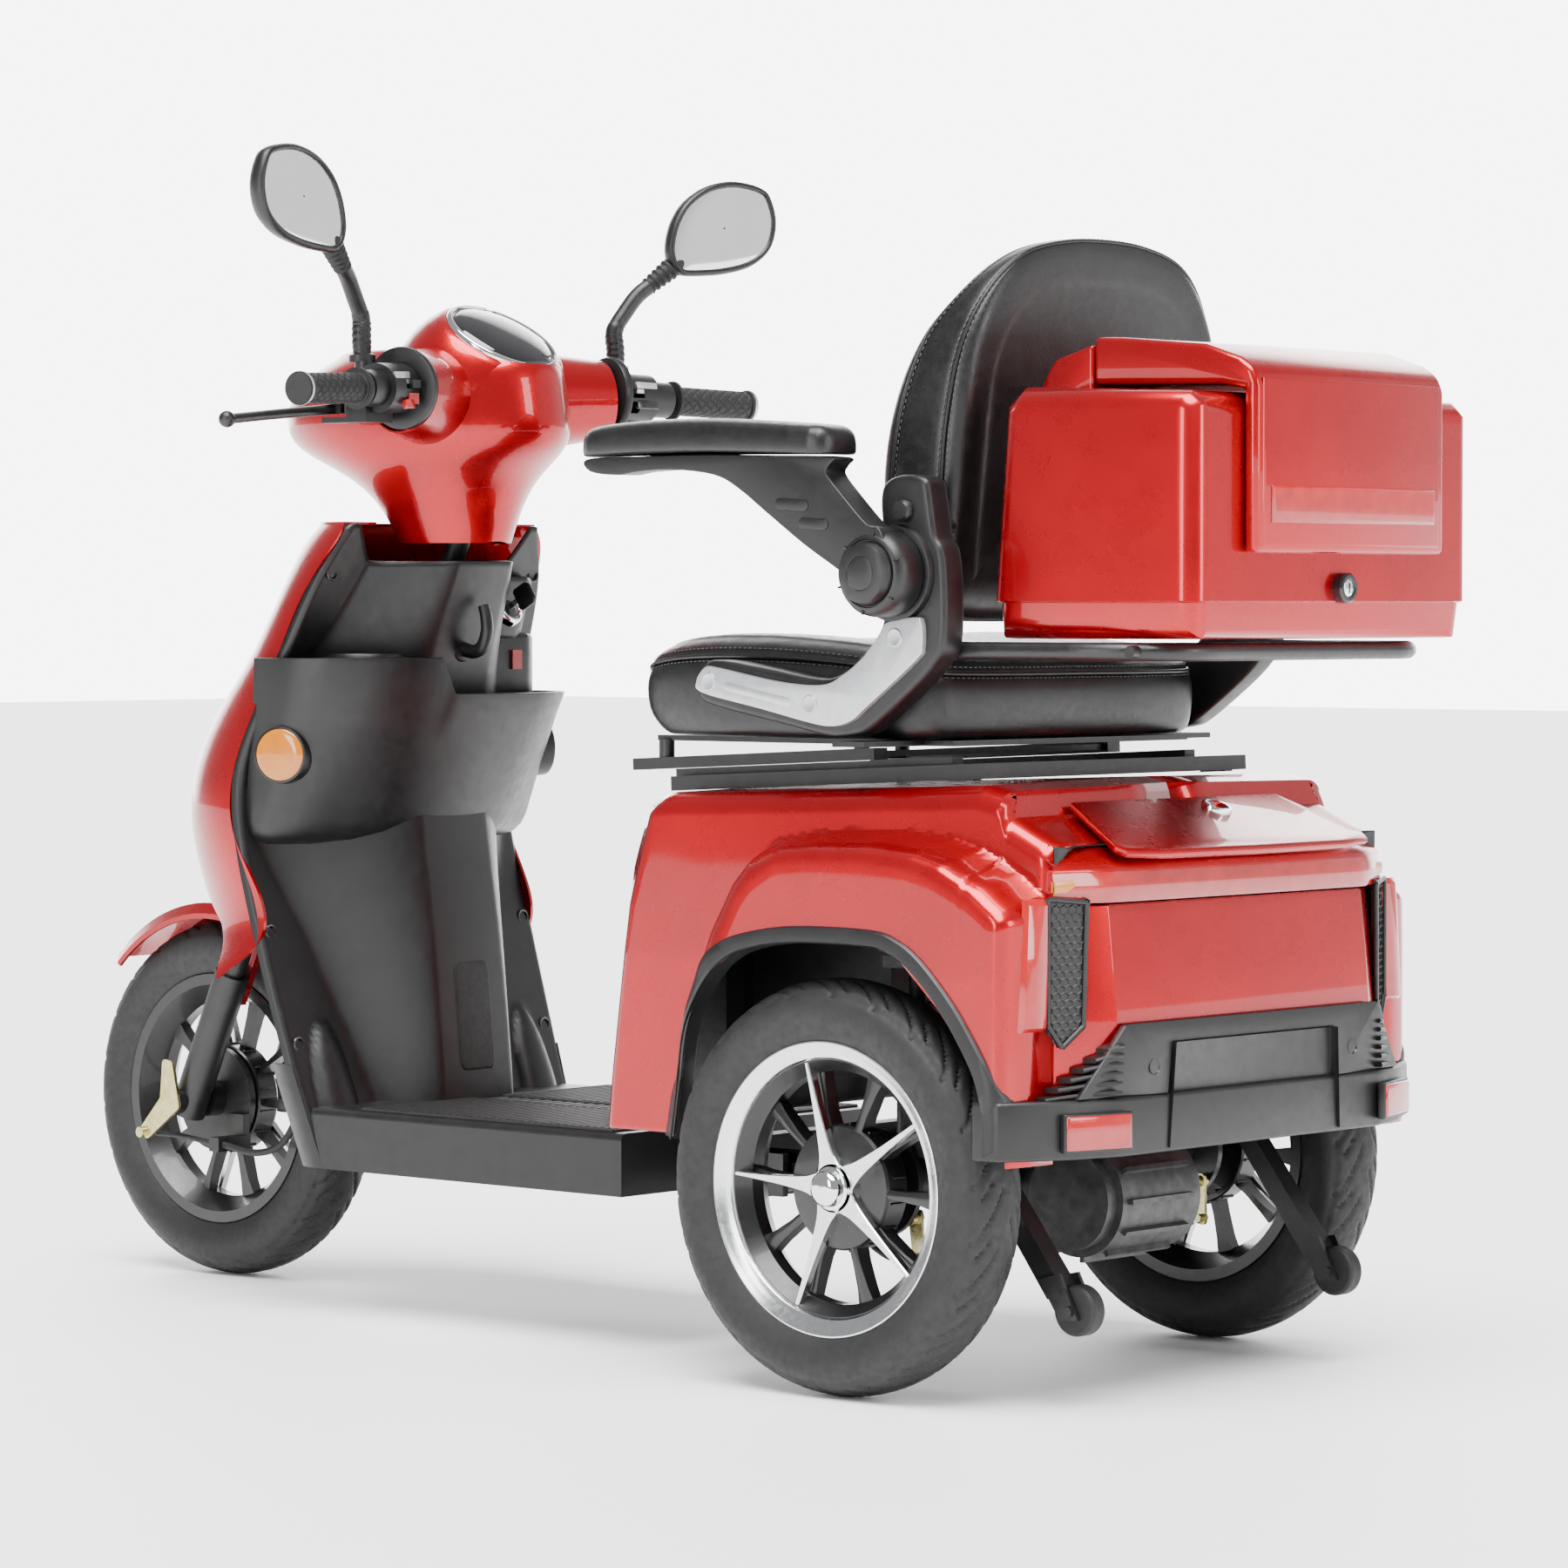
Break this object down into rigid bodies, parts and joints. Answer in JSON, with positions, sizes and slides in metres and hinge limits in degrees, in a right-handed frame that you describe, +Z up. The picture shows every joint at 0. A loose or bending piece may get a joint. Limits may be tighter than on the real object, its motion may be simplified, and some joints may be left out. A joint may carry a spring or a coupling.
{
  "type": "mobility scooter",
  "caption": "Seated mobility scooter on three wheels with steerable front fork, leg shield, padded seat with flip-up arms, luggage box and anti-tip rollers.",
  "frame": {"origin": "middle of the footprint's bounding box, on the ground", "axes": "+X forward, +Y to the rider's left, +Z up; the wheels turn about Y"},
  "size_m": [1.783, 0.8192, 1.2648],
  "materials": {
    "red_paint": "metallic red, clear coat",
    "black_plastic": "fine grain",
    "black_steel": "powder coat",
    "tyre": "matt",
    "rim": "black with machined faces",
    "bare_metal": "cast",
    "zinc": "yellow zinc",
    "rubber": "matt",
    "leather": "fine grain",
    "red_lens": "translucent lens",
    "clear_lens": "lens",
    "dash": "screen",
    "chrome": "polished"
  },
  "bodies": {
    "chassis": {"main_frame": "black_steel", "front_apron": "red_paint", "leg_shield": "black_plastic", "footboard": "black_plastic", "rear_body": "red_paint", "arch_trims": "black_plastic", "rear_bumper": "black_plastic", "tail_lights": "red_lens", "tail_grilles": "black_plastic", "reflectors": "red_lens", "anti_tip_arms": "black_steel", "power_pack": "black_plastic", "seat_base_frame": "black_steel"},
    "steering": {"steering_stem": "black_steel", "handlebar": "black_steel", "head_cover": "red_paint", "headlight": "clear_lens", "instrument": "dash", "switch_pods": "black_plastic", "mirror_stems": "black_steel", "left_grip": "rubber"},
    "fork_lower": {"fork_sliders": "black_steel", "front_fender": "red_paint", "front_brake_cable": "rubber"},
    "front_wheel": {"front_tyre": "tyre", "front_rim": "rim"},
    "front_arm": {"front_brake_arm": "zinc"},
    "rear_axle": {"drive_unit": "black_steel", "motor": "bare_metal", "rear_brake_cables": "rubber", "shock_absorbers": "black_steel"},
    "rear_wheel_left": {"rear_tyre_left": "tyre", "rear_rim_left": "rim"},
    "rear_wheel_right": {"rear_tyre_right": "tyre", "rear_rim_right": "rim"},
    "rear_arms": {"rear_brake_arms": "zinc"},
    "anti_tip_left": {"roller_left": "rubber"},
    "anti_tip_right": {"roller_right": "rubber"},
    "seat": {"seat_rails": "black_steel", "seat_cushion": "leather", "backrest": "leather", "armrest_brackets": "black_plastic", "luggage_rack": "black_steel", "box_base": "red_paint"},
    "armrest_left": {"arm_left": "black_plastic", "arm_pad_left": "leather"},
    "armrest_right": {"arm_right": "black_plastic", "arm_pad_right": "leather"},
    "lid": {"box_lid": "red_paint"},
    "lock": {"box_lock": "chrome"},
    "hatch": {"tail_hatch": "red_paint"},
    "key": {"ignition_key": "chrome"},
    "rocker": {"dash_rocker": "red_lens"},
    "throttle": {"throttle_grip": "rubber"},
    "slider": {"turn_slider": "black_plastic"},
    "horn": {"horn_button": "red_lens"},
    "lever_left": {"brake_lever_left": "black_steel"},
    "lever_right": {"brake_lever_right": "black_steel"},
    "mirror_left": {"mirror_head_left": "black_plastic"},
    "mirror_right": {"mirror_head_right": "black_plastic"}
  },
  "joints": [
    {"name": "steer", "type": "hinge", "parent": "chassis", "child": "steering", "pos_m": [0.63303, 0, 0.18007], "axis": [-0.4226, 0, 0.9063], "range_deg": [-35, 35]},
    {"name": "fork_travel", "type": "slide", "parent": "steering", "child": "fork_lower", "axis": [-0.4226, 0, 0.9063], "range_m": [-0.004, 0.026], "stiffness_N_per_m": 30000, "springref_m": -0.0075, "deforming": ["front_brake_cable"]},
    {"name": "front_wheel_spin", "type": "hinge", "parent": "fork_lower", "child": "front_wheel", "pos_m": [0.6865, 0, 0.205], "axis": [0, 1, 0], "continuous": true},
    {"name": "front_arm_pull", "type": "hinge", "parent": "fork_lower", "child": "front_arm", "pos_m": [0.6865, 0.098, 0.205], "axis": [0, 1, 0], "range_deg": [0, 10]},
    {"name": "rear_travel", "type": "hinge", "parent": "chassis", "child": "rear_axle", "pos_m": [-0.2625, 0, 0.19], "axis": [0, 1, 0], "range_deg": [-1, 3.5], "stiffness_Nm_per_rad": 20000, "springref_deg": -0.46, "deforming": ["shock_absorbers"]},
    {"name": "rear_left_spin", "type": "hinge", "parent": "rear_axle", "child": "rear_wheel_left", "pos_m": [-0.4975, 0.2945, 0.205], "axis": [0, 1, 0], "continuous": true},
    {"name": "rear_right_spin", "type": "hinge", "parent": "rear_axle", "child": "rear_wheel_right", "pos_m": [-0.4975, -0.2945, 0.205], "axis": [0, 1, 0], "continuous": true},
    {"name": "rear_arms_pull", "type": "hinge", "parent": "rear_axle", "child": "rear_arms", "pos_m": [-0.5335, 0, 0.172], "axis": [0, 1, 0], "range_deg": [0, 12]},
    {"name": "roller_left_spin", "type": "hinge", "parent": "chassis", "child": "anti_tip_left", "pos_m": [-0.724, 0.212, 0.095], "axis": [0, 1, 0], "continuous": true},
    {"name": "roller_right_spin", "type": "hinge", "parent": "chassis", "child": "anti_tip_right", "pos_m": [-0.724, -0.212, 0.095], "axis": [0, 1, 0], "continuous": true},
    {"name": "seat_slide", "type": "slide", "parent": "chassis", "child": "seat", "axis": [0.9987, 0, -0.0506], "range_m": [-0.05, 0.04]},
    {"name": "armrest_left_flip", "type": "hinge", "parent": "seat", "child": "armrest_left", "pos_m": [-0.5495, 0.306, 0.804], "axis": [0, -1, 0], "range_deg": [0, 95]},
    {"name": "armrest_right_flip", "type": "hinge", "parent": "seat", "child": "armrest_right", "pos_m": [-0.5495, -0.306, 0.804], "axis": [0, -1, 0], "range_deg": [0, 95]},
    {"name": "lid_open", "type": "hinge", "parent": "seat", "child": "lid", "pos_m": [-0.6935, 0, 1.034], "axis": [0, 1, 0], "range_deg": [0, 80]},
    {"name": "lock_turn", "type": "hinge", "parent": "seat", "child": "lock", "pos_m": [-0.8735, -0.006, 0.79], "axis": [1, 0, 0], "range_deg": [0, 90]},
    {"name": "hatch_open", "type": "hinge", "parent": "chassis", "child": "hatch", "pos_m": [-0.6755, 0, 0.586], "axis": [0, 1, 0], "range_deg": [0, 60]},
    {"name": "key_turn", "type": "hinge", "parent": "chassis", "child": "key", "pos_m": [0.3525, -0.098, 0.765], "axis": [-0.8602, -0.1, 0.5001], "range_deg": [0, 90]},
    {"name": "rocker_tip", "type": "hinge", "parent": "chassis", "child": "rocker", "pos_m": [0.3685, -0.128, 0.712], "axis": [0, 1, 0], "range_deg": [-6, 6]},
    {"name": "throttle_turn", "type": "hinge", "parent": "steering", "child": "throttle", "pos_m": [0.2475, -0.161, 1.008], "axis": [-0.2056, -0.978, -0.0351], "range_deg": [0, 60], "stiffness_Nm_per_rad": 0.05},
    {"name": "slider_move", "type": "slide", "parent": "steering", "child": "slider", "axis": [0, 1, 0], "range_m": [-0.005, 0.005]},
    {"name": "horn_press", "type": "slide", "parent": "steering", "child": "horn", "axis": [1, 0, 0], "range_m": [0, 0.002], "stiffness_N_per_m": 150},
    {"name": "lever_left_pull", "type": "hinge", "parent": "steering", "child": "lever_left", "pos_m": [0.2945, 0.196, 0.986], "axis": [0, 0, 1], "range_deg": [0, 15], "stiffness_Nm_per_rad": 0.8},
    {"name": "lever_right_pull", "type": "hinge", "parent": "steering", "child": "lever_right", "pos_m": [0.2945, -0.196, 0.986], "axis": [0, 0, -1], "range_deg": [0, 15], "stiffness_Nm_per_rad": 0.8},
    {"name": "mirror_left_turn", "type": "hinge", "parent": "steering", "child": "mirror_left", "pos_m": [0.2525, 0.268, 1.163], "axis": [0, 0, 1], "range_deg": [-20, 20]},
    {"name": "mirror_right_turn", "type": "hinge", "parent": "steering", "child": "mirror_right", "pos_m": [0.2525, -0.268, 1.163], "axis": [0, 0, 1], "range_deg": [-20, 20]}
  ],
  "couplings": [
    {"joint": "front_arm_pull", "follows": "lever_right_pull", "ratio": 0.6},
    {"joint": "rear_arms_pull", "follows": "lever_left_pull", "ratio": 0.7}
  ]
}
